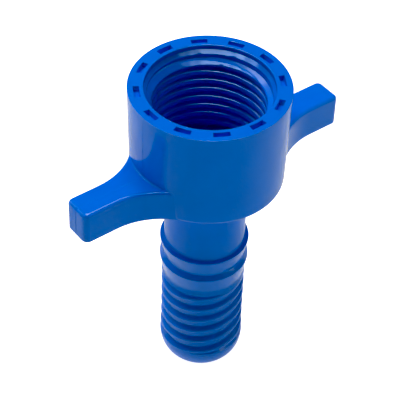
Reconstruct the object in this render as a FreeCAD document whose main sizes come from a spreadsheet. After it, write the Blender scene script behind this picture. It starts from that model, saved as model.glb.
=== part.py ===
import FreeCAD, Part
import math
import os
import Sketcher
from FreeCAD import Vector

# Winged insert adapter: one moulding with a threaded socket on top,
# two finger wings and a hollow insert that a hose is twisted on to.
# Millimetres, +Z up. The origin is the centre of the insert's flat tip,
# the wings lie along X and the socket opens upwards.

NODE = "winged_adapter"
LEVEL_TOLERANCE = 1e-3

# Driving sizes
SIZES = {
    "total_height": 62.4,
    # hub
    "hub_height": 18.75,
    "hub_top_radius": 13.7,
    "hub_foot_radius": 13.3,
    "hub_rim_chamfer": 0.35,
    "hub_foot_chamfer": 0.12,
    # wings
    "wing_height": 5.8,
    "wing_width": 5.6,
    "wing_reach": 26.85,
    "wing_root_radius": 12.8,
    "wing_root_sink": 0.2,
    "wing_corner_radius": 1.1,
    "wing_edge_radius": 0.7,
    # pockets in the rim
    "pocket_count": 12,
    "pocket_angle": 13.0,
    "pocket_phase": 1.7,
    "pocket_inner_radius": 11.65,
    "pocket_width": 1.0,
    "pocket_depth": 1.0,
    # socket and waterway
    "mouth_radius": 10.95,
    "mouth_lip": 0.85,
    "mouth_slope": 1.35,
    "socket_radius": 10.478,
    "socket_depth": 17.0,
    "waterway_radius": 4.75,
    "waterway_chamfer": 0.3,
    # neck and barbs
    "neck_radius": 7.2,
    "neck_root_chamfer": 0.8,
    "barb_radius": 7.9,
    "barb_land": 0.3,
    "upper_barb_drop": 33.6,
    "upper_barb_shoulder": 0.15,
    "barb_spacing": 4.25,
    "barb_gap_radius": 7.25,
    "barb_gap_height": 1.45,
    "lower_barb_root": 7.32,
    "lower_barb_shoulder": 0.45,
    "lower_barb_cone": 3.1,
    # helical grip
    "valley_radius": 7.3,
    "valley_rise": 0.9,
    "grip_radius": 7.53,
    "groove_depth": 0.7,
    "groove_root_width": 0.5,
    "groove_width": 1.5,
    "crest_bevel": 0.18,
    "crest_flat": 0.36,
    "crest_relief": 0.02,
    "groove_starts": 2,
    "groove_spacing": 2.76,
    "groove_start_height": 0.24,
    "run_out_slope": 0.7,
    "run_out_foot": 4.7,
    "run_out_top_drop": 0.95,
    "stock": 0.4,
    # nose
    "collar_radius": 7.62,
    "collar_level": 6.2,
    "collar_rise": 0.8,
    "nose_height": 4.3,
    "nose_radius": 5.48,
}

# Levels and places that follow from the driving sizes
WORKED = {
    "foot_level": "Sizes.total_height - Sizes.hub_height",
    "socket_floor": "Sizes.total_height - Sizes.socket_depth",
    "mouth_drop": "(Sizes.mouth_radius - Sizes.socket_radius) * Sizes.mouth_slope",
    "lip_foot": "Sizes.total_height - Sizes.mouth_lip",
    "mouth_foot": "lip_foot - mouth_drop",
    "pocket_outer_radius": "Sizes.pocket_inner_radius + Sizes.pocket_width",
    "pocket_floor": "Sizes.total_height - Sizes.pocket_depth",
    # insert
    "neck_root_level": "foot_level - Sizes.neck_root_chamfer",
    "upper_barb_top": "Sizes.total_height - Sizes.upper_barb_drop",
    "upper_barb_foot": "upper_barb_top - Sizes.barb_land",
    "neck_foot": "upper_barb_top + Sizes.upper_barb_shoulder",
    "lower_barb_top": "upper_barb_top - Sizes.barb_spacing",
    "lower_barb_foot": "lower_barb_top - Sizes.barb_land",
    "barb_root_level": "lower_barb_top + Sizes.lower_barb_shoulder",
    "barb_gap_level": "lower_barb_top + Sizes.barb_gap_height",
    "valley_level": "lower_barb_foot - Sizes.lower_barb_cone",
    "grip_level": "valley_level - Sizes.valley_rise",
    "collar_top": "Sizes.collar_level + Sizes.collar_rise",
    "nose_centre": "Sizes.collar_radius - Sizes.nose_radius",
    "nose_flat": "nose_centre + sqrt(Sizes.nose_radius ^ 2 - Sizes.nose_height ^ 2)",
    "stock_radius": "Sizes.barb_radius + Sizes.stock",
    "turning_radius": "stock_radius + Sizes.stock",
    # wing outline
    "wing_top": "foot_level + Sizes.wing_height",
    "wing_half": "Sizes.wing_width / 2",
    "root_circle": "Sizes.hub_foot_radius - Sizes.wing_root_sink",
    "root_reach": "root_circle + Sizes.wing_root_radius",
    "root_centre_y": "wing_half + Sizes.wing_root_radius",
    "root_centre_x": "sqrt(root_reach ^ 2 - root_centre_y ^ 2)",
    "root_touch_x": "root_centre_x * root_circle / root_reach",
    "root_touch_y": "root_centre_y * root_circle / root_reach",
    # groove section: narrow root, straight flanks and bevelled crests
    "groove_lead": "Sizes.groove_spacing * Sizes.groove_starts",
    "groove_bottom": "Sizes.grip_radius - Sizes.groove_depth",
    "root_half": "Sizes.groove_root_width / 2",
    "shoulder_radius": "Sizes.grip_radius - Sizes.crest_bevel",
    "shoulder_half": "Sizes.groove_width / 2",
    "crest_line": "Sizes.grip_radius + Sizes.crest_relief",
    "crest_half": "(Sizes.groove_spacing - Sizes.crest_flat) / 2",
    # cones that the grooves climb at both ends of the grip
    "run_out_radius": "groove_bottom - Sizes.groove_depth",
    "run_out_rise": "(turning_radius - run_out_radius) / Sizes.run_out_slope",
    "run_out_tail": "(turning_radius - Sizes.grip_radius) / Sizes.run_out_slope",
    "foot_outer": "Sizes.run_out_foot - run_out_tail",
    "foot_inner": "foot_outer + run_out_rise",
    "top_outer": "valley_level - Sizes.run_out_top_drop + run_out_tail",
    "top_inner": "top_outer - run_out_rise",
    "run_out_end": "top_outer - (turning_radius - Sizes.barb_radius) / Sizes.run_out_slope",
    "groove_top": "run_out_end + 2 * crest_half",
    "groove_run": "groove_top - crest_half - Sizes.groove_start_height",
}


def new_sheet(doc, name, cells):
    """Fill a spreadsheet whose cells carry their names as aliases."""
    sheet = doc.addObject("Spreadsheet::Sheet", name)
    for row, (alias, content) in enumerate(cells.items(), start=1):
        sheet.set(f"A{row}", alias)
        sheet.set(f"B{row}", content)
        sheet.setAlias(f"B{row}", alias)
    doc.recompute()
    return sheet


def new_sketch(body, name, role, lift=None):
    """Attach an empty sketch to one of the body's origin planes."""
    plane = next(f for f in body.Origin.OriginFeatures if f.Role == role)
    sketch = body.newObject("Sketcher::SketchObject", name)
    sketch.AttachmentSupport = [(plane, "")]
    sketch.MapMode = "FlatFace"
    if lift:
        sketch.setExpression("AttachmentOffset.Base.z", lift)
    return sketch


def arc_through(start, end, radius, turn):
    """Arc of a circle from start to end that turns left (1) or right (-1)."""
    chord = end - start
    half = chord.Length / 2
    rise = math.sqrt(max(radius ** 2 - half ** 2, 0.0))
    side = Vector(-chord.y, chord.x, 0).normalize() * turn
    centre = (start + end) / 2 + side * rise
    first, last = (start, end) if turn > 0 else (end, start)
    circle = Part.Circle(centre, Vector(0, 0, 1), radius)
    return Part.ArcOfCircle(
        circle,
        math.atan2(first.y - centre.y, first.x - centre.x),
        math.atan2(last.y - centre.y, last.x - centre.x),
    )


def draw(sketch, steps):
    """Draw a closed outline whose corners are placed by expressions.

    Each step is (name, x, y) or (name, x, y, radius, turn): the corner, and
    the arc that leads from it to the next corner where that isn't a line.
    """
    def number(expression):
        return float(sketch.evalExpression(expression))

    corners = [Vector(number(step[1]), number(step[2]), 0) for step in steps]
    start_of, end_of = [], []
    for step, here, there in zip(steps, corners, corners[1:] + corners[:1]):
        if len(step) == 3:
            index = sketch.addGeometry(Part.LineSegment(here, there), False)
            start_of.append((index, 1))
            end_of.append((index, 2))
            continue
        radius, turn = step[3:]
        arc = arc_through(here, there, number(radius), turn)
        index = sketch.addGeometry(arc, False)
        start_of.append((index, 1 if turn > 0 else 2))
        end_of.append((index, 2 if turn > 0 else 1))
        rule = sketch.addConstraint(Sketcher.Constraint("Radius", index, number(radius)))
        sketch.renameConstraint(rule, f"{step[0]}_radius")
        sketch.setExpression(f"Constraints.{step[0]}_radius", radius)

    for step, here, start, before in zip(
        steps, corners, start_of, end_of[-1:] + end_of[:-1]
    ):
        sketch.addConstraint(Sketcher.Constraint("Coincident", *before, *start))
        place_point(sketch, start, step[0], "X", here.x, step[1])
        place_point(sketch, start, step[0], "Y", here.y, step[2])


def place_point(sketch, point, name, axis, distance, expression):
    """Hold a point at a distance from the origin along one axis."""
    if expression == "0":
        line = -2 if axis == "X" else -1
        sketch.addConstraint(Sketcher.Constraint("PointOnObject", *point, line))
        return
    kind = f"Distance{axis}"
    rule = sketch.addConstraint(Sketcher.Constraint(kind, -1, 1, *point, distance))
    sketch.renameConstraint(rule, f"{name}_{axis.lower()}")
    sketch.setExpression(f"Constraints.{name}_{axis.lower()}", expression)


def turned(body, kind, name, sketch):
    """Add a Revolution or cut a Groove all the way round the Z axis."""
    feature = body.newObject(f"PartDesign::{kind}", name)
    feature.Profile = sketch
    feature.ReferenceAxis = (sketch, ["V_Axis"])
    feature.Angle = 360
    return feature


def spun(body, name, feature, count):
    """Repeat a feature round the Z axis."""
    pattern = body.newObject("PartDesign::PolarPattern", name)
    pattern.Originals = [feature]
    pattern.Axis = (feature.Profile[0], ["V_Axis"])
    pattern.Angle = 360
    pattern.setExpression("Occurrences", count)
    body.Tip = pattern
    return pattern


def add_wings(body):
    """Plate whose two finger wings flow out of the hub in hollow curves."""
    sketch = new_sketch(body, "WingOutline", "XY_Plane", "Worked.foot_level")
    half, reach = "Worked.wing_half", "Sizes.wing_reach"
    corner, root = "Sizes.wing_corner_radius", "Sizes.wing_root_radius"
    centre, circle = "Worked.root_centre_x", "Worked.root_circle"
    touch_x, touch_y = "Worked.root_touch_x", "Worked.root_touch_y"
    draw(sketch, [
        ("east_tip_a", reach, f"-({half} - {corner})"),
        ("east_tip_b", reach, f"{half} - {corner}", corner, 1),
        ("east_side_a", f"{reach} - {corner}", half),
        ("east_root_a", centre, half, root, -1),
        ("east_touch_a", touch_x, touch_y, circle, 1),
        ("west_touch_a", f"-{touch_x}", touch_y, root, -1),
        ("west_root_a", f"-{centre}", half),
        ("west_side_a", f"-({reach} - {corner})", half, corner, 1),
        ("west_tip_a", f"-{reach}", f"{half} - {corner}"),
        ("west_tip_b", f"-{reach}", f"-({half} - {corner})", corner, 1),
        ("west_side_b", f"-({reach} - {corner})", f"-{half}"),
        ("west_root_b", f"-{centre}", f"-{half}", root, -1),
        ("west_touch_b", f"-{touch_x}", f"-{touch_y}", circle, 1),
        ("east_touch_b", touch_x, f"-{touch_y}", root, -1),
        ("east_root_b", centre, f"-{half}"),
        ("east_side_b", f"{reach} - {corner}", f"-{half}", corner, 1),
    ])
    plate = body.newObject("PartDesign::Pad", "WingPlate")
    plate.Profile = sketch
    plate.setExpression("Length", "Sizes.wing_height")
    body.Document.recompute()

    top = body.Document.Worked.get("wing_top")
    upper_rim = [
        f"Edge{index}" for index, edge in enumerate(plate.Shape.Edges, start=1)
        if abs(edge.BoundBox.ZMin - top) < LEVEL_TOLERANCE
    ]
    fillet = body.newObject("PartDesign::Fillet", "WingEdges")
    fillet.Base = (plate, upper_rim)
    fillet.setExpression("Radius", "Sizes.wing_edge_radius")
    return fillet


def add_hub(body):
    """Slightly tapered hub with bevelled edges."""
    sketch = new_sketch(body, "HubOutline", "XZ_Plane")
    rim, foot = "Sizes.hub_rim_chamfer", "Sizes.hub_foot_chamfer"
    draw(sketch, [
        ("axis_foot", "0", "Worked.foot_level"),
        ("foot", f"Sizes.hub_foot_radius - {foot}", "Worked.foot_level"),
        ("side_foot", "Sizes.hub_foot_radius", f"Worked.foot_level + {foot}"),
        ("side_top", "Sizes.hub_top_radius", f"Sizes.total_height - {rim}"),
        ("top", f"Sizes.hub_top_radius - {rim}", "Sizes.total_height"),
        ("axis_top", "0", "Sizes.total_height"),
    ])
    return turned(body, "Revolution", "Hub", sketch)


def add_insert(body):
    """Bar of the insert: neck and barbs, and plain stock that the grip is cut from."""
    sketch = new_sketch(body, "InsertOutline", "XZ_Plane")
    draw(sketch, [
        ("axis_foot", "0", "0"),
        ("stock_foot", "Worked.stock_radius", "0"),
        ("stock_top", "Worked.stock_radius", "Worked.lower_barb_foot"),
        ("lower_barb_foot", "Sizes.barb_radius", "Worked.lower_barb_foot"),
        ("lower_barb_top", "Sizes.barb_radius", "Worked.lower_barb_top"),
        ("lower_barb_root", "Sizes.lower_barb_root", "Worked.barb_root_level"),
        ("barb_gap", "Sizes.barb_gap_radius", "Worked.barb_gap_level"),
        ("upper_barb_foot", "Sizes.barb_radius", "Worked.upper_barb_foot"),
        ("upper_barb_top", "Sizes.barb_radius", "Worked.upper_barb_top"),
        ("neck_foot", "Sizes.neck_radius", "Worked.neck_foot"),
        ("neck_top", "Sizes.neck_radius", "Worked.neck_root_level"),
        ("neck_root", "Sizes.neck_radius + Sizes.neck_root_chamfer", "Worked.foot_level"),
        ("axis_top", "0", "Worked.foot_level"),
    ])
    return turned(body, "Revolution", "Insert", sketch)


def cut_grooves(body):
    """Right-hand helical grooves, one for each start, that leave narrow crests."""
    sketch = new_sketch(body, "GrooveSection", "XZ_Plane")
    centre = "Sizes.groove_start_height"
    draw(sketch, [
        ("outer_low", "Worked.turning_radius", f"{centre} - Worked.crest_half"),
        ("outer_high", "Worked.turning_radius", f"{centre} + Worked.crest_half"),
        ("crest_high", "Worked.crest_line", f"{centre} + Worked.crest_half"),
        ("shoulder_high", "Worked.shoulder_radius", f"{centre} + Worked.shoulder_half"),
        ("root_high", "Worked.groove_bottom", f"{centre} + Worked.root_half"),
        ("root_low", "Worked.groove_bottom", f"{centre} - Worked.root_half"),
        ("shoulder_low", "Worked.shoulder_radius", f"{centre} - Worked.shoulder_half"),
        ("crest_low", "Worked.crest_line", f"{centre} - Worked.crest_half"),
    ])
    body.Document.recompute()
    groove = body.newObject("PartDesign::SubtractiveHelix", "HelicalGroove")
    groove.Profile = sketch
    groove.ReferenceAxis = (sketch, ["V_Axis"])
    groove.Mode = "pitch-height-angle"
    groove.setExpression("Pitch", "Worked.groove_lead")
    groove.setExpression("Height", "Worked.groove_run")
    groove.Angle = 0
    groove.LeftHanded = False
    groove.Reversed = False
    return spun(body, "GrooveStarts", groove, "Sizes.groove_starts")


def fill_run_outs(body):
    """Cone that the grooves climb at each end of the grip until they fade."""
    sketch = new_sketch(body, "RunOutOutline", "XZ_Plane")
    draw(sketch, [
        ("axis_foot", "0", "0"),
        ("foot", "Worked.turning_radius", "0"),
        ("foot_outer", "Worked.turning_radius", "Worked.foot_outer"),
        ("foot_inner", "Worked.run_out_radius", "Worked.foot_inner"),
        ("top_inner", "Worked.run_out_radius", "Worked.top_inner"),
        ("top_outer", "Worked.turning_radius", "Worked.top_outer"),
        ("top", "Worked.turning_radius", "Worked.groove_top"),
        ("axis_top", "0", "Worked.groove_top"),
    ])
    return turned(body, "Revolution", "RunOuts", sketch)


def turn_grip(body):
    """Outside of the grip: nose, collar, crests, valley and the lower barb's cone."""
    sketch = new_sketch(body, "GripOutline", "XZ_Plane")
    far = "Worked.turning_radius + Sizes.stock"
    draw(sketch, [
        ("far_foot", far, "-Sizes.stock"),
        ("far_top", far, "Worked.lower_barb_foot"),
        ("barb", "Sizes.barb_radius", "Worked.lower_barb_foot"),
        ("valley", "Sizes.valley_radius", "Worked.valley_level"),
        ("grip_top", "Sizes.grip_radius", "Worked.grip_level"),
        ("collar_top", "Sizes.grip_radius", "Worked.collar_top"),
        ("collar", "Sizes.collar_radius", "Sizes.collar_level"),
        ("nose_top", "Sizes.collar_radius", "Sizes.nose_height", "Sizes.nose_radius", -1),
        ("nose_flat", "Worked.nose_flat", "0"),
        ("tip", "Worked.nose_flat", "-Sizes.stock"),
    ])
    return turned(body, "Groove", "GripShape", sketch)


def cut_pockets(body):
    """Ring of shallow pockets in the rim, with radial ends, turned a little past the wings."""
    sketch = new_sketch(body, "PocketSection", "XZ_Plane")
    sketch.AttachmentOffset = FreeCAD.Placement(Vector(), Vector(0, 1, 0), 1)
    sketch.setExpression("AttachmentOffset.Rotation.Angle", "Sizes.pocket_phase")
    draw(sketch, [
        ("inner_low", "Sizes.pocket_inner_radius", "Worked.pocket_floor"),
        ("outer_low", "Worked.pocket_outer_radius", "Worked.pocket_floor"),
        ("outer_high", "Worked.pocket_outer_radius", "Sizes.total_height + Sizes.stock"),
        ("inner_high", "Sizes.pocket_inner_radius", "Sizes.total_height + Sizes.stock"),
    ])
    pocket = body.newObject("PartDesign::Groove", "RimPocket")
    pocket.Profile = sketch
    pocket.ReferenceAxis = (sketch, ["V_Axis"])
    pocket.Midplane = True
    pocket.setExpression("Angle", "Sizes.pocket_angle")
    return spun(body, "RimPockets", pocket, "Sizes.pocket_count")


def bore_through(body):
    """Socket with a lip and a sloping mouth, its floor and the waterway through the insert."""
    sketch = new_sketch(body, "BoreOutline", "XZ_Plane")
    chamfer = "Sizes.waterway_chamfer"
    draw(sketch, [
        ("axis_foot", "0", "0"),
        ("exit", f"Sizes.waterway_radius + {chamfer}", "0"),
        ("waterway_foot", "Sizes.waterway_radius", chamfer),
        ("waterway_top", "Sizes.waterway_radius", f"Worked.socket_floor - {chamfer}"),
        ("floor_inner", f"Sizes.waterway_radius + {chamfer}", "Worked.socket_floor"),
        ("floor_outer", "Sizes.socket_radius", "Worked.socket_floor"),
        ("mouth_foot", "Sizes.socket_radius", "Worked.mouth_foot"),
        ("lip_foot", "Sizes.mouth_radius", "Worked.lip_foot"),
        ("mouth", "Sizes.mouth_radius", "Sizes.total_height"),
        ("axis_top", "0", "Sizes.total_height"),
    ])
    return turned(body, "Groove", "Bore", sketch)


def write_step(doc, body):
    """Check every object and the solid, then write the STEP file."""
    for item in doc.Objects:
        if {"Invalid", "Error"} & set(item.State):
            raise RuntimeError(f"{item.Name} failed to build: {item.State}")
    shape = body.Shape
    if shape.isNull() or not shape.isValid() or len(shape.Solids) != 1:
        raise RuntimeError(f"{body.Label} isn't one valid solid")
    os.makedirs("parts", exist_ok=True)
    shape.exportStep(os.path.join("parts", f"{body.Label}.step"))
    box = shape.optimalBoundingBox()
    print(f"{body.Label}: {box.XLength:.2f} x {box.YLength:.2f} x {box.ZLength:.2f} mm")
    print(f"volume {shape.Volume:.1f} mm3, {len(shape.Faces)} faces")


def main():
    doc = FreeCAD.newDocument(NODE)
    new_sheet(doc, "Sizes", {name: str(size) for name, size in SIZES.items()})
    new_sheet(doc, "Worked", {name: f"={rule}" for name, rule in WORKED.items()})
    body = doc.addObject("PartDesign::Body", "Adapter")
    body.Label = NODE
    steps = (add_wings, add_hub, add_insert, cut_grooves,
             fill_run_outs, turn_grip, cut_pockets, bore_through)
    for step in steps:
        body.Tip = step(body)
        doc.recompute()
    write_step(doc, body)


main()
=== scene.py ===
import math

import bmesh
import bpy
import numpy as np
from mathutils import Matrix, Vector


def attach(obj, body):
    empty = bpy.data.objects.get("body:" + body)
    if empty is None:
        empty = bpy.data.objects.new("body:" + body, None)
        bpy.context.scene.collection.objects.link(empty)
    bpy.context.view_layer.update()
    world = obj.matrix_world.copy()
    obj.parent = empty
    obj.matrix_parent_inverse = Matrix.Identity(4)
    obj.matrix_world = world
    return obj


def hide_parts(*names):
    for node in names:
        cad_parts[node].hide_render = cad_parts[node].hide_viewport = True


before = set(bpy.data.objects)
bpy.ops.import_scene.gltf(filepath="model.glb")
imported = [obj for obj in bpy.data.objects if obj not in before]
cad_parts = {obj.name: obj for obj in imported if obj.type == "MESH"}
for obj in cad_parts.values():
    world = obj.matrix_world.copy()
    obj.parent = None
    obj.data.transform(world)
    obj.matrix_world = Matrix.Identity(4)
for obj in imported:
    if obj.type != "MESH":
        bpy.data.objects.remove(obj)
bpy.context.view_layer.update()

NODE = "winged_adapter"
MM = 0.001
FOLD_ANGLE = math.radians(28)

# Levels and radii of the moulding in millimetres, up from the insert's tip.
TOP = 62.4
HUB_FOOT = 43.65
HUB_TOP_R = 13.7
HUB_FOOT_R = 13.3
WING_TOP = 49.45
SOCKET_FLOOR = 45.4
WATERWAY_R = 4.75
WATERWAY_BEVEL = 0.3


def build_mesh(name, points, faces, weld=0):
    """A mesh object from points in millimetres, smooth where it curves and sharp where it folds."""
    mesh = bpy.data.meshes.new(name)
    mesh.from_pydata((np.asarray(points) * MM).tolist(), [], faces)
    if weld:
        form = bmesh.new()
        form.from_mesh(mesh)
        bmesh.ops.remove_doubles(form, verts=form.verts, dist=weld * MM)
        loose = [vert for vert in form.verts if not vert.link_faces]
        bmesh.ops.delete(form, geom=loose, context="VERTS")
        form.to_mesh(mesh)
        form.free()
    mesh.validate()
    mesh.shade_smooth()
    mesh.set_sharp_from_angle(angle=FOLD_ANGLE)
    piece = bpy.data.objects.new(name, mesh)
    bpy.context.scene.collection.objects.link(piece)
    return piece


def ring_faces(rings, stations):
    """Quads of a surface that closes round its stations and from its last ring to its first."""
    ring, station = np.meshgrid(np.arange(rings), np.arange(stations), indexing="ij")
    after, beyond = (ring + 1) % rings, (station + 1) % stations
    quads = np.stack([ring * stations + station, ring * stations + beyond,
                      after * stations + beyond, after * stations + station], axis=-1)
    return quads.reshape(-1, 4).tolist()


def grid_faces(start, rows, width, flip):
    """Quads of an open grid of points, row by row, whose first point has the index start."""
    faces = []
    for row in range(rows - 1):
        for k in range(width - 1):
            a = start + row * width + k
            b = a + width
            faces.append((a + 1, a, b, b + 1) if flip else (a, a + 1, b + 1, b))
    return faces


def soften(corners, segments=4):
    """A section's corners (radius, height, rounding) as points, each rounded corner a short curve."""
    points = []
    for i, (r, z, rounding) in enumerate(corners):
        here = np.array([r, z])
        if not rounding or i in (0, len(corners) - 1):
            points.append(here)
            continue
        before = np.array(corners[i - 1][:2]) - here
        after = np.array(corners[i + 1][:2]) - here
        start = here + before / np.linalg.norm(before) * min(rounding, np.linalg.norm(before) * 0.49)
        end = here + after / np.linalg.norm(after) * min(rounding, np.linalg.norm(after) * 0.49)
        for k in range(segments + 1):
            t = k / segments
            points.append((1 - t) ** 2 * start + 2 * t * (1 - t) * here + t ** 2 * end)
    return np.array(points)


def spread(section, step):
    """The section with points added so that no two are more than step apart."""
    points = [section[0]]
    for a, b in zip(section[:-1], section[1:]):
        count = max(1, math.ceil(np.linalg.norm(b - a) / step))
        points += [a + (b - a) * k / count for k in range(1, count + 1)]
    return np.array(points)


def turned(radius, height, angle):
    """Points of a turned surface from radii and heights by ring and station."""
    return np.stack([radius * np.cos(angle), radius * np.sin(angle), height], axis=-1).reshape(-1, 3)


# Insert: nose, grip with two helical grooves, barbs and neck, round the waterway.
INSERT_STATIONS = 264
WATERWAY_MIDDLE = 20
NOSE_R = 5.48
NOSE_TOP = 4.3
COLLAR_R = 7.62
COLLAR_TOP = 6.2
GRIP_R = 7.53
GRIP_FOOT = 7.0
GRIP_TOP = 20.25
GRIP_STEP = 0.08
BARB_R = 7.9
NECK_R = 7.2
NECK_FLARE = 0.8
SUNK_END_R = (7.9, 5.1)
SUNK_END_LEVEL = HUB_FOOT + 0.25
# Corners of the barbs: radius, level, rounding.
VALLEY = [(7.3, 21.15, 0.5)]
LOWER_BARB = [(BARB_R, 24.25, 0.1), (BARB_R, 24.47, 0), (BARB_R, 24.5, 0), (7.25, 25.3, 0.05)]
UPPER_BARB = [(BARB_R, 28.5, 0.1), (BARB_R, 28.8, 0.06), (NECK_R, 28.95, 0.08)]
# Half a groove, from the middle of its floor to the middle of the crest: distance, depth, rounding.
GROOVE_SECTION = [(0, 0.7, 0), (0.42, 0.7, 0.14), (0.95, 0.13, 0.15), (1.2, 0, 0.14), (1.38, 0, 0)]
GROOVE_STARTS = 2
GROOVE_SPACING = 2.76
GROOVE_START = 0.24
RUN_OUT_SLOPE = 0.7
RUN_OUT_FOOT = 4.6
RUN_OUT_TOP = 20.2
OUTSIDE_R = 6.75


def make_insert():
    """The hollow insert as one turned surface, with the helical grooves sunk into its grip."""
    nose = [(COLLAR_R - NOSE_R + NOSE_R * math.cos(a), NOSE_TOP - NOSE_R * math.sin(a), 0)
            for a in np.linspace(math.asin(NOSE_TOP / NOSE_R), 0, 18)]
    below = soften([
        (WATERWAY_R, WATERWAY_MIDDLE, 0), (WATERWAY_R, WATERWAY_BEVEL, 0),
        (WATERWAY_R + WATERWAY_BEVEL, 0, 0), *nose,
    ])
    grip = spread(soften([
        (COLLAR_R, NOSE_TOP, 0), (COLLAR_R, COLLAR_TOP, 0.3),
        (GRIP_R, GRIP_FOOT, 0.3), (GRIP_R, GRIP_TOP, 0),
    ]), GRIP_STEP)
    above = soften([
        (GRIP_R, GRIP_TOP, 0), *VALLEY, *LOWER_BARB, *UPPER_BARB,
        (NECK_R, HUB_FOOT - NECK_FLARE, 0.5), (NECK_R + NECK_FLARE, HUB_FOOT, 0),
        *((r, SUNK_END_LEVEL, 0) for r in SUNK_END_R), (WATERWAY_R, HUB_FOOT, 0),
    ])
    section = np.vstack([below[:-1], grip[:-1], above])
    angle = np.arange(INSERT_STATIONS) / INSERT_STATIONS * 2 * math.pi
    r, z = (np.repeat(section[:, [k]], len(angle), axis=1) for k in (0, 1))
    along = z - GROOVE_START - GROOVE_STARTS * GROOVE_SPACING * angle / (2 * math.pi)
    off = (along + GROOVE_SPACING / 2) % GROOVE_SPACING - GROOVE_SPACING / 2
    cut = np.interp(np.abs(off), *soften(GROOVE_SECTION).T)
    cut = np.minimum(cut, RUN_OUT_SLOPE * np.minimum(z - RUN_OUT_FOOT, RUN_OUT_TOP - z))
    r = r - np.where(r > OUTSIDE_R, np.clip(cut, 0, None), 0)
    return build_mesh("insert", turned(r, z, angle), ring_faces(*r.shape))


# Hub: a tapered cup with pockets in its rim and a pipe thread inside.
FOOT_ROUNDING = 0.6
SIDE_STEP = 3.0
RIM_INSET = 0.01
RIM_ROUNDING = 0.1
RIM_OUTER_R = 12.9
RIM_INNER_R = 11.3
LIP = 0.85
LIP_ROUNDING = 0.28
WELD = 0.002
POCKETS = 12
POCKET_PITCH = 360 / POCKETS
POCKET_PHASE = 1.7
POCKET_HALF_ANGLE = 6.4
POCKET_MIDDLE_R = 12.15
POCKET_HALF_WIDTH = 0.47
POCKET_DEPTH = 1.0
POCKET_WALL = 0.08
# Rings and stations close to a pocket's edge, as distances outward from it in mm and in degrees.
POCKET_RINGS = (0.2, 0.1, 0.06, 0.03, 0.0, -0.03, -0.06, -0.1, -0.2)
POCKET_STATIONS = (-0.9, -0.3, -0.15, -0.05, 0.05, 0.15, 0.3, 1.2)
MOUTH_R = 10.95
CREST_R = 9.55
ROOT_R = 10.478
THREAD_PITCH = 1.814
THREAD_FLANK = 26
THREAD_STEP = 0.22
CREST_HALF = 0.44
CREST_MIDDLE = 0.2
CREST_LEVEL = 52.05
CREST_ANGLE = 51.7
CREST_BEVEL = 0.12
CREST_BEVEL_SLOPE = 1.35
MOUTH_LEVELS = (59.35, 60.6, 60.91, TOP - LIP)
MOUTH_RADII = (CREST_R, ROOT_R, ROOT_R, MOUTH_R)
THREAD_END = 128.7
THREAD_FADE = 90
PARTING_HALF_WIDTH = 0.07
PARTING_HEIGHT = 0.04
PARTING_MARGIN = 0.15
PARTING_STATIONS = (-0.6, -0.3, -0.15, 0, 0.15, 0.3, 0.6)


def hub_stations():
    """Angles round the hub, close together at the pockets' ends and at the two parting lines."""
    half = [0, 3, *(POCKET_HALF_ANGLE + a for a in POCKET_STATIONS), 10, 12.5]
    sector = [-a for a in half[:0:-1]] + half + [POCKET_PITCH / 2]
    round_pockets = [POCKET_PHASE + POCKET_PITCH * k + a for k in range(POCKETS) for a in sector]
    round_partings = [side + a for side in (0, 180) for a in PARTING_STATIONS]
    degrees = np.sort(np.mod(round_pockets + round_partings, 360))
    keep = np.diff(degrees, append=degrees[0] + 360) > 0.04
    return np.radians(degrees[keep])


def thread_profile():
    """One pitch of the thread from root to root as (radius, height), with the crest at height 0."""
    slope = math.tan(math.radians(THREAD_FLANK))
    root = [(ROOT_R, THREAD_PITCH / 2, 0), (ROOT_R, CREST_HALF + (ROOT_R - CREST_R) * slope, 0)]
    bevel_top = CREST_HALF + CREST_BEVEL * slope
    bevel = [(CREST_R + CREST_BEVEL, bevel_top, 0.03),
             (CREST_R, bevel_top - CREST_BEVEL * CREST_BEVEL_SLOPE, 0.03)]
    crest = [(CREST_R, CREST_MIDDLE, 0), (CREST_R, 0, 0)]
    upper = spread(soften([*root, *bevel, *crest], 3), THREAD_STEP)
    lower = spread(soften([*root, (CREST_R, CREST_HALF, 0.12), *crest], 4), THREAD_STEP)
    return np.vstack([upper, lower[-2::-1] * (1, -1)])[::-1]


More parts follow.
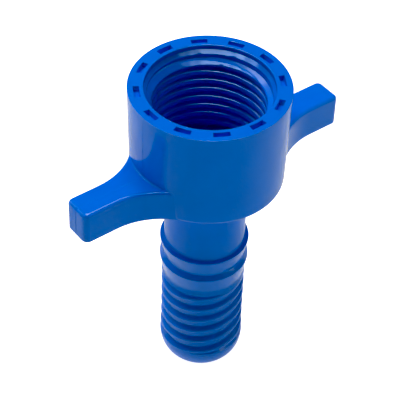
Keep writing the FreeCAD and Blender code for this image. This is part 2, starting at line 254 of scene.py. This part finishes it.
def make_thread(angle):
    """The socket's wall from lip to floor: a right-handed thread that runs out in the mouth's bevels."""
    profile = thread_profile()
    heights = profile[:-1, 1]
    lowest = math.floor((SOCKET_FLOOR - CREST_LEVEL) / THREAD_PITCH) - 2
    turns = math.ceil((TOP - LIP - CREST_LEVEL) / THREAD_PITCH) + 2 - lowest
    around = len(angle)
    turn = np.arange(turns)[:, None, None]
    lead = THREAD_PITCH * (np.degrees(angle) - CREST_ANGLE) / 360
    z = CREST_LEVEL + THREAD_PITCH * (lowest + turn) + heights[None, :, None] + lead[None, None, :]
    z = z.reshape(-1, around)
    for level in MOUTH_LEVELS[:-1]:
        z[np.abs(z - level).argmin(axis=0), np.arange(around)] = level
    from_crest = (z - CREST_LEVEL - lead + THREAD_PITCH / 2) % THREAD_PITCH - THREAD_PITCH / 2
    r = np.interp(from_crest, profile[:, 1], profile[:, 0])
    mouth = np.interp(z, MOUTH_LEVELS, MOUTH_RADII)
    r = np.maximum(r, mouth)
    past_end = (np.degrees(angle) - THREAD_END) % 360
    relief = MOUTH_LEVELS[1] - THREAD_PITCH * (1 - past_end / 360)
    open_wall = np.maximum(ROOT_R, mouth)
    r = np.where(z > relief, r + (open_wall - r) * np.clip(past_end / THREAD_FADE, 0, 1), r)
    above, below = z >= TOP - LIP, z <= SOCKET_FLOOR
    r = np.where(above, MOUTH_R, np.where(below, ROOT_R, r))
    z = np.clip(z, SOCKET_FLOOR, TOP - LIP)
    faces = []
    rows = len(z)
    for row in range(rows - 1):
        for k in range(around):
            if k < around - 1:
                quad = [(row, k), (row, k + 1), (row + 1, k + 1), (row + 1, k)]
            else:
                quad = [(row, k), (row + len(heights), 0), (row + len(heights) + 1, 0), (row + 1, k)]
            if quad[2][0] >= rows:
                continue
            if all(above[q] for q in quad) or all(below[q] for q in quad):
                continue
            faces.append([i * around + j for i, j in quad])
    return turned(r, z, angle), faces


def make_hub():
    """The hub as one turned surface: socket floor, underside, outside, rim with its pockets, and thread."""
    inside = np.array([
        (ROOT_R, SOCKET_FLOOR), (WATERWAY_R + WATERWAY_BEVEL, SOCKET_FLOOR),
        (WATERWAY_R, SOCKET_FLOOR - WATERWAY_BEVEL),
    ])
    outside = spread(soften([
        (WATERWAY_R, HUB_FOOT, 0), (HUB_FOOT_R, HUB_FOOT, FOOT_ROUNDING),
        (HUB_TOP_R - RIM_INSET, TOP, RIM_ROUNDING), (RIM_OUTER_R, TOP, 0),
    ], 5), SIDE_STEP)
    rim = [RIM_OUTER_R, *(POCKET_MIDDLE_R + POCKET_HALF_WIDTH + e for e in POCKET_RINGS), POCKET_MIDDLE_R,
           *(POCKET_MIDDLE_R - POCKET_HALF_WIDTH - e for e in POCKET_RINGS[::-1]), RIM_INNER_R]
    rim = np.array([(r, TOP) for r in rim])
    lip = soften([(RIM_INNER_R, TOP, 0), (MOUTH_R, TOP, LIP_ROUNDING), (MOUTH_R, TOP - LIP, 0)], 5)
    section = np.vstack([inside, outside[:-1], rim[:-1], lip])
    angle = hub_stations()
    r, z = (np.repeat(section[:, [k]], len(angle), axis=1) for k in (0, 1))
    ring = np.arange(len(section))[:, None]
    first_side = len(inside)
    first_rim = first_side + len(outside) - 1
    first_lip = first_rim + len(rim) - 1

    from_parting = np.abs((np.degrees(angle) + 90) % 180 - 90) * math.radians(HUB_FOOT_R)
    ridge = PARTING_HEIGHT * np.clip(1 - from_parting / PARTING_HALF_WIDTH, 0, 1)
    on_side = (ring >= first_side) & (ring < first_rim)
    on_side = on_side & (z > HUB_FOOT + PARTING_MARGIN) & (z < TOP - PARTING_MARGIN)
    r = r + np.where(on_side, ridge, 0)

    on_rim = (ring >= first_rim) & (ring < first_lip)
    from_centre = (np.degrees(angle) - POCKET_PHASE + POCKET_PITCH / 2) % POCKET_PITCH - POCKET_PITCH / 2
    across = np.abs(r - POCKET_MIDDLE_R) - POCKET_HALF_WIDTH
    sideways = (np.abs(from_centre) - POCKET_HALF_ANGLE) * math.radians(POCKET_MIDDLE_R)
    sunk = np.clip(0.5 - np.maximum(across, sideways) / POCKET_WALL, 0, 1)
    z = z - np.where(on_rim, POCKET_DEPTH * sunk * sunk * (3 - 2 * sunk), 0)

    cup = turned(r, z, angle)
    cup_faces = ring_faces(*r.shape)[:-len(angle)]
    wall, wall_faces = make_thread(angle)
    wall_faces = [[i + len(cup) for i in face] for face in wall_faces]
    return build_mesh("hub", np.vstack([cup, wall]), cup_faces + wall_faces, weld=WELD)


# Wings: plates that flow out of the hub in hollow curves.
WING_HALF_WIDTH = 2.8
WING_REACH = 26.85
ROOT_CENTRE = (20.67, 15.6)
ROOT_ARC_R = 12.8
ROOT_TOUCH = (-10.215, -7.71)
CORNER_R = 1.1
UPPER_EDGE_R = 0.7
CRISP_FOOT = 0.6
# Points across a wing's flat, in half widths from the middle.
FLAT_STEPS = (1, 0.75, 0.4, 0.1, -0.1, -0.4, -0.75, -1)
BOW_REACH = 8
FLAT_SEAM_HEIGHT = 0.012
TIP_SEAM_DEPTH = 0.1
TIP_SEAM_HALF_WIDTH = 0.1
FILLET_R = 0.35
FILLET_HALF_TURN = math.radians(22)
FILLET_LEAST = 0.02
FILLET_FADE = 2.5


def wing_side():
    """One side of a wing in plan from the hub to the tip, with its outward normals."""
    points, normals = [], []
    first = math.atan2(ROOT_TOUCH[1], ROOT_TOUCH[0])
    for a in np.linspace(first, -math.pi / 2, 26):
        cos, sin = math.cos(a), math.sin(a)
        points.append((ROOT_CENTRE[0] + ROOT_ARC_R * cos, ROOT_CENTRE[1] + ROOT_ARC_R * sin))
        normals.append((-cos, -sin))
    corner = (WING_REACH - CORNER_R, WING_HALF_WIDTH - CORNER_R)
    for a in np.linspace(math.pi / 2, 0, 9):
        points.append((corner[0] + CORNER_R * math.cos(a), corner[1] + CORNER_R * math.sin(a)))
        normals.append((math.cos(a), math.sin(a)))
    return np.array(points), np.array(normals)


def wing_ring(side, normal, inset, z):
    """A ring round the wing at one level: down one side, across the tip and its seam, back up the other."""
    edge = side - normal * inset
    tip_x, tip_y = edge[-1]
    end = [(tip_x, tip_y * 0.6), (tip_x, tip_y * 0.2), (tip_x, TIP_SEAM_HALF_WIDTH),
           (tip_x - TIP_SEAM_DEPTH, 0)]
    end += [(x, -y) for x, y in end[-2::-1]]
    back = [(x, -y) for x, y in edge[::-1]]
    return [(x, y, z) for x, y in [*edge, *end, *back]]


def wing_flat(ring, count, z, seam):
    """The flat between a wing's sides with a seam along it, bowed at the root to stay in the hub's wall."""
    flat = []
    for x, y, _ in ring[:count]:
        bow = max(0.0, math.hypot(x, y) - x) * max(0.0, 1 - (x - ring[0][0]) / BOW_REACH) ** 2
        row = [(x + bow * (1 - t * t), y * t, z) for t in FLAT_STEPS]
        middle = [(x + bow, PARTING_HALF_WIDTH, z), (x + bow, 0, z + seam),
                  (x + bow, -PARTING_HALF_WIDTH, z)]
        half = len(row) // 2
        flat.append([*row[:half], *middle, *row[half:]])
    return flat


def root_fillet():
    """The small hollow fillet between a wing's top and the hub, which thins out at both ends."""
    hub_r = HUB_FOOT_R + (HUB_TOP_R - HUB_FOOT_R) * (WING_TOP - HUB_FOOT) / (TOP - HUB_FOOT)
    rows = []
    for a in np.linspace(-FILLET_HALF_TURN, FILLET_HALF_TURN, 61):
        size = FILLET_R * min(1.0, FILLET_LEAST + (FILLET_HALF_TURN - abs(a)) * hub_r / FILLET_FADE)
        row = []
        for b in np.linspace(0, math.pi / 2, 7):
            r = hub_r + size * (1 - math.cos(b))
            row.append((r * math.cos(a), r * math.sin(a), WING_TOP + size * (1 - math.sin(b))))
        rows.append(row)
    return rows


def make_wing(name, turn):
    """A finger wing along +X, turned round the axis: sides and tip, underside, top and root fillet."""
    side, normal = wing_side()
    edge_foot = WING_TOP - UPPER_EDGE_R
    levels = [(0, HUB_FOOT)] + [(0, z) for z in np.linspace(HUB_FOOT + CRISP_FOOT, edge_foot, 6)]
    levels += [(UPPER_EDGE_R * (1 - math.cos(a)), edge_foot + UPPER_EDGE_R * math.sin(a))
               for a in np.linspace(0, math.pi / 2, 7)[1:]]
    rings = [wing_ring(side, normal, inset, z) for inset, z in levels]
    underside = wing_flat(rings[0], len(side), HUB_FOOT, -FLAT_SEAM_HEIGHT)
    top = wing_flat(rings[-1], len(side), WING_TOP, FLAT_SEAM_HEIGHT)
    points, faces = [], []
    for rows, flip in ((rings, True), (underside, True), (top, False), (root_fillet(), False)):
        faces += grid_faces(len(points), len(rows), len(rows[0]), flip)
        points += [point for row in rows for point in row]
    cos, sin = math.cos(turn), math.sin(turn)
    points = [(x * cos - y * sin, x * sin + y * cos, z) for x, y, z in points]
    return build_mesh(name, points, faces)


# Plastic: the blue clouds faintly between two shades, and the gloss and the skin vary as on a moulding.
CLOUD_SCALE = 140
BLUE_SHADES = ((0.3, (0.0, 0.142, 0.76, 1)), (0.7, (0.0, 0.156, 0.8, 1)))
GLOSS_SCALE = 420
GLOSS_ROUGHNESS = (0.12, 0.18)
SKIN_SCALE = 1900
SKIN_STRENGTH = 0.06
SKIN_DEPTH = 0.00003
PLASTIC_IOR = 1.46


def map_range(tree, value, span, onto):
    """A node that maps a span of values in a straight line on to another."""
    node = tree.nodes.new("ShaderNodeMapRange")
    node.inputs["From Min"].default_value, node.inputs["From Max"].default_value = span
    node.inputs["To Min"].default_value, node.inputs["To Max"].default_value = onto
    tree.links.new(value, node.inputs["Value"])
    return node


def plastic(name):
    """Glossy blue moulded plastic: even colour with faint clouding, a fine skin and soft gloss changes."""
    material = bpy.data.materials.new(name)
    material.use_nodes = True
    tree = material.node_tree
    nodes, links = tree.nodes, tree.links
    shader = nodes["Principled BSDF"]
    place = nodes.new("ShaderNodeTexCoord")

    def noise(scale, detail):
        node = nodes.new("ShaderNodeTexNoise")
        node.inputs["Scale"].default_value = scale
        node.inputs["Detail"].default_value = detail
        links.new(place.outputs["Object"], node.inputs["Vector"])
        return node.outputs["Fac"]

    clouds = noise(CLOUD_SCALE, 3)
    colour = nodes.new("ShaderNodeValToRGB")
    for element, (position, shade) in zip(colour.color_ramp.elements, BLUE_SHADES):
        element.position = position
        element.color = shade
    links.new(clouds, colour.inputs["Fac"])
    links.new(colour.outputs["Color"], shader.inputs["Base Color"])
    roughness = map_range(tree, noise(GLOSS_SCALE, 4), (0.3, 0.7), GLOSS_ROUGHNESS)
    links.new(roughness.outputs["Result"], shader.inputs["Roughness"])
    skin = noise(SKIN_SCALE, 2)
    bump = nodes.new("ShaderNodeBump")
    bump.inputs["Strength"].default_value = SKIN_STRENGTH
    bump.inputs["Distance"].default_value = SKIN_DEPTH
    links.new(skin, bump.inputs["Height"])
    links.new(bump.outputs["Normal"], shader.inputs["Normal"])
    shader.inputs["IOR"].default_value = PLASTIC_IOR
    return material


# Camera: its angles in degrees, its distance in hub radii, and the place it looks at, which is given
# in hub radii to the right of the rim's centre and up from it.
CAMERA_TURN = 38.3
CAMERA_ELEVATION = 43.28844
CAMERA_ROLL = 2.11443
CAMERA_DISTANCE = 20
AIM_RIGHT = -0.07235
AIM_UP = -1.87137
PICTURE_WIDTH = 400
LENS_IN_PIXELS = 1568.67183
SENSOR_WIDTH = 36


def make_camera():
    """A long lens at the photograph's viewing angle."""
    camera = bpy.data.objects.new("camera", bpy.data.cameras.new("camera"))
    bpy.context.scene.collection.objects.link(camera)
    azimuth, elevation, roll = map(math.radians, (-CAMERA_TURN, CAMERA_ELEVATION, CAMERA_ROLL))
    back = Vector((math.sin(azimuth) * math.cos(elevation), -math.cos(azimuth) * math.cos(elevation),
                   math.sin(elevation)))
    right = Vector((math.cos(azimuth), math.sin(azimuth), 0))
    up = back.cross(right)
    aim = Vector((0, 0, TOP)) + HUB_TOP_R * (right * AIM_RIGHT + Vector((0, 0, AIM_UP)))
    tilted = right * math.cos(roll) + up * math.sin(roll)
    upright = up * math.cos(roll) - right * math.sin(roll)
    place = (aim + back * CAMERA_DISTANCE * HUB_TOP_R) * MM
    camera.matrix_world = Matrix.Translation(place) @ Matrix((tilted, upright, back)).transposed().to_4x4()
    camera.data.sensor_width = SENSOR_WIDTH
    camera.data.lens = SENSOR_WIDTH * LENS_IN_PIXELS / PICTURE_WIDTH
    camera.data.clip_start, camera.data.clip_end = 0.01, 10
    bpy.context.scene.camera = camera


# Studio: a direction is a bearing, which starts at the picture's right and goes round by the back,
# and an elevation, both in degrees.
BLACK_LEVEL = (0.03, 0.004, 0.03)
# The tent's own light by the height of the direction, from straight down at -1 to straight up at 1.
TENT_STOPS = ((-1.0, 0.7), (0.0, 0.7), (0.08, 0.3), (0.15, 0.02), (1.0, 0.0))
# Soft glows in the tent: bearing, elevation, sharpness, strength.
TENT_GLOWS = (
    (90, 70, 70, 15.0),
    (155, 38, 10, 1.3),
    (80, 8, 30, 2.5),
    (326, 2, 14, 0.8),
    (8, 39, 30, 1.3),
)
FLOOR_HALF = 1500
# Painted shade on the floors, darker near a spot in front of the object: the spot, the distances from it in
# metres, and the greys there.
PAINTED_SHADE_SPOT = (-0.025, -0.031, 0)
PAINTED_SHADE_SPAN = (0.03, 0.14)
PAINTED_SHADE_GREYS = (0.7, 0.92)
# Painted glow of the lower floor, which is no lamp: far from that spot, and a pool of it near the object's
# foot.
FAR_SPAN = (0.08, 0.25)
FAR_GLOW = (0, 0.5)
NEAR_SPAN = (0.012, 0.045)
NEAR_GLOW = (0.45, 0)
# The lamps stand round a place in the socket, all equally far from it.
LAMP_AIM = Vector((0, 0, 60))
LAMP_DISTANCE = 450
WHITE = (1.0, 1.0, 1.0)
SKY = (0.5, 0.7, 1.0)


def direction(bearing, elevation):
    """The unit vector towards a bearing and an elevation."""
    turn, rise = math.radians(bearing - CAMERA_TURN), math.radians(elevation)
    return Vector((math.cos(turn) * math.cos(rise), math.sin(turn) * math.cos(rise), math.sin(rise)))


def set_view():
    """A plain view of the colours, whose black level keeps the deep blue free of red."""
    view = bpy.context.scene.view_settings
    view.view_transform = "Standard"
    view.use_curve_mapping = True
    view.curve_mapping.black_level = BLACK_LEVEL
    view.curve_mapping.update()


def make_tent():
    """The soft light of a white tent: bright low down, dark above the camera, with glows in it."""
    world = bpy.data.worlds.new("studio")
    bpy.context.scene.world = world
    world.use_nodes = True
    tree = world.node_tree
    nodes, links = tree.nodes, tree.links
    place = nodes.new("ShaderNodeTexCoord")
    height = nodes.new("ShaderNodeSeparateXYZ")
    links.new(place.outputs["Generated"], height.inputs["Vector"])
    level = map_range(tree, height.outputs["Z"], (-1, 1), (0, 1))
    tent = nodes.new("ShaderNodeValToRGB")
    while len(tent.color_ramp.elements) < len(TENT_STOPS):
        tent.color_ramp.elements.new(0.5)
    for element, (z, value) in zip(tent.color_ramp.elements, TENT_STOPS):
        element.position = (z + 1) / 2
        element.color = (value, value, value, 1)
    links.new(level.outputs["Result"], tent.inputs["Fac"])
    total = tent.outputs["Color"]

    def step(operation, value, second):
        node = nodes.new("ShaderNodeMath")
        node.operation = operation
        node.inputs[1].default_value = second
        links.new(value, node.inputs[0])
        return node

    for bearing, elevation, sharpness, strength in TENT_GLOWS:
        aim = nodes.new("ShaderNodeVectorMath")
        aim.operation = "DOT_PRODUCT"
        aim.inputs[1].default_value = direction(bearing, elevation)
        links.new(place.outputs["Generated"], aim.inputs[0])
        near = step("MAXIMUM", aim.outputs["Value"], 0)
        glow = step("POWER", near.outputs[0], sharpness)
        add = step("MULTIPLY_ADD", glow.outputs[0], strength)
        links.new(total, add.inputs[2])
        total = add.outputs[0]
    links.new(total, nodes["Background"].inputs["Color"])


def make_floor():
    """The pale floor that the camera sees, and below it the one that throws soft light back; both carry
    painted shade, and the lower one a painted glow.
    """
    for name, level, seen in (("floor", -0.05, True), ("floor_bounce_and_painted_glow", -0.2, False)):
        corners = [(x * FLOOR_HALF, y * FLOOR_HALF, level) for x, y in ((-1, -1), (1, -1), (1, 1), (-1, 1))]
        floor = build_mesh(name, corners, [(0, 1, 2, 3)])
        paper_and_painted_shade = bpy.data.materials.new(name + "_paper_and_painted_shade")
        paper_and_painted_shade.use_nodes = True
        tree = paper_and_painted_shade.node_tree
        nodes, links = tree.nodes, tree.links
        shader = nodes["Principled BSDF"]
        spot = nodes.new("ShaderNodeTexCoord")
        away = nodes.new("ShaderNodeVectorMath")
        away.operation = "DISTANCE"
        away.inputs[1].default_value = PAINTED_SHADE_SPOT
        links.new(spot.outputs["Object"], away.inputs[0])
        # Painted shade: the floor's grey is darker near the spot in front of the object.
        painted_shade = map_range(tree, away.outputs["Value"], PAINTED_SHADE_SPAN, PAINTED_SHADE_GREYS)
        painted_shade.interpolation_type = "SMOOTHSTEP"
        links.new(painted_shade.outputs["Result"], shader.inputs["Base Color"])
        shader.inputs["Roughness"].default_value = 0.9
        shader.inputs["Specular IOR Level"].default_value = 0
        shader.inputs["Emission Color"].default_value = (1, 1, 1, 1)
        shader.inputs["Emission Strength"].default_value = 1
        if not seen:
            from_foot = nodes.new("ShaderNodeVectorMath")
            from_foot.operation = "LENGTH"
            links.new(spot.outputs["Object"], from_foot.inputs[0])
            # Painted glow: the lower floor emits more light far from the spot and near the object's foot.
            far_glow = map_range(tree, away.outputs["Value"], FAR_SPAN, FAR_GLOW)
            near_glow = map_range(tree, from_foot.outputs["Value"], NEAR_SPAN, NEAR_GLOW)
            both = nodes.new("ShaderNodeMath")
            links.new(far_glow.outputs["Result"], both.inputs[0])
            links.new(near_glow.outputs["Result"], both.inputs[1])
            links.new(both.outputs[0], shader.inputs["Emission Strength"])
        floor.data.materials.append(paper_and_painted_shade)
        floor.visible_camera = seen
        floor.visible_diffuse = not seen
        floor.visible_glossy = not seen
        floor.visible_shadow = not seen


def make_lamps(hub, insert, wing_left):
    """Soft rectangular lamps: a key light with no gloss, and lamps that draw the gloss on one piece each."""
    for name, bearing, elevation, width, height, radiance, colour, piece in (
        # Width and height are in millimetres. The last value is the piece that the lamp lights.
        ("key", 158, 66, 160, 160, 9.5, WHITE, None),
        ("front_strip_1", 200, 23.8, 200, 44, 10.0, SKY, hub),
        ("front_strip_2", 225, 29.4, 200, 44, 16.0, SKY, hub),
        ("front_strip_3", 250, 32.8, 200, 44, 16.0, SKY, hub),
        ("front_strip_4", 275, 33.6, 200, 44, 15.0, SKY, hub),
        ("front_strip_5", 297, 32.0, 160, 44, 8.0, SKY, hub),
        ("front_strip_6", 316, 29.5, 150, 44, 4.0, SKY, hub),
        ("crest_left", 132, 57, 190, 170, 4.0, WHITE, hub),
        ("crest_right", 55, 58, 130, 130, 3.5, WHITE, hub),
        ("wing_edge", 30, 60, 260, 60, 5.0, SKY, wing_left),
        ("wing_root", 262, 76, 260, 80, 14.0, SKY, wing_left),
        ("low_right", 335, 9, 260, 36, 3.0, WHITE, insert),
    ):
        light = bpy.data.lights.new(name, "AREA")
        light.shape = "RECTANGLE"
        light.size, light.size_y = width * MM, height * MM
        light.energy = radiance * math.pi * width * height * MM * MM
        light.color = colour
        lamp = bpy.data.objects.new(name, light)
        bpy.context.scene.collection.objects.link(lamp)
        place = LAMP_AIM + LAMP_DISTANCE * direction(bearing, elevation)
        lamp.location = place * MM
        lamp.rotation_mode = "QUATERNION"
        lamp.rotation_quaternion = (place - LAMP_AIM).to_track_quat("Z", "Y")
        lamp.visible_camera = False
        lamp.visible_diffuse = piece is None
        lamp.visible_glossy = piece is not None
        if piece:
            receivers = bpy.data.collections.new(name + "_receivers")
            receivers.objects.link(piece)
            lamp.light_linking.receiver_collection = receivers


make_camera()
moulded = plastic("blue_plastic_moulded")
hub = make_hub()
insert = make_insert()
wings = [make_wing("wing_right", 0), make_wing("wing_left", math.pi)]
for piece in [hub, insert, *wings]:
    piece.data.materials.append(moulded)
    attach(piece, "root")
    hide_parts(NODE)
set_view()
make_tent()
make_floor()
make_lamps(hub, insert, wings[1])
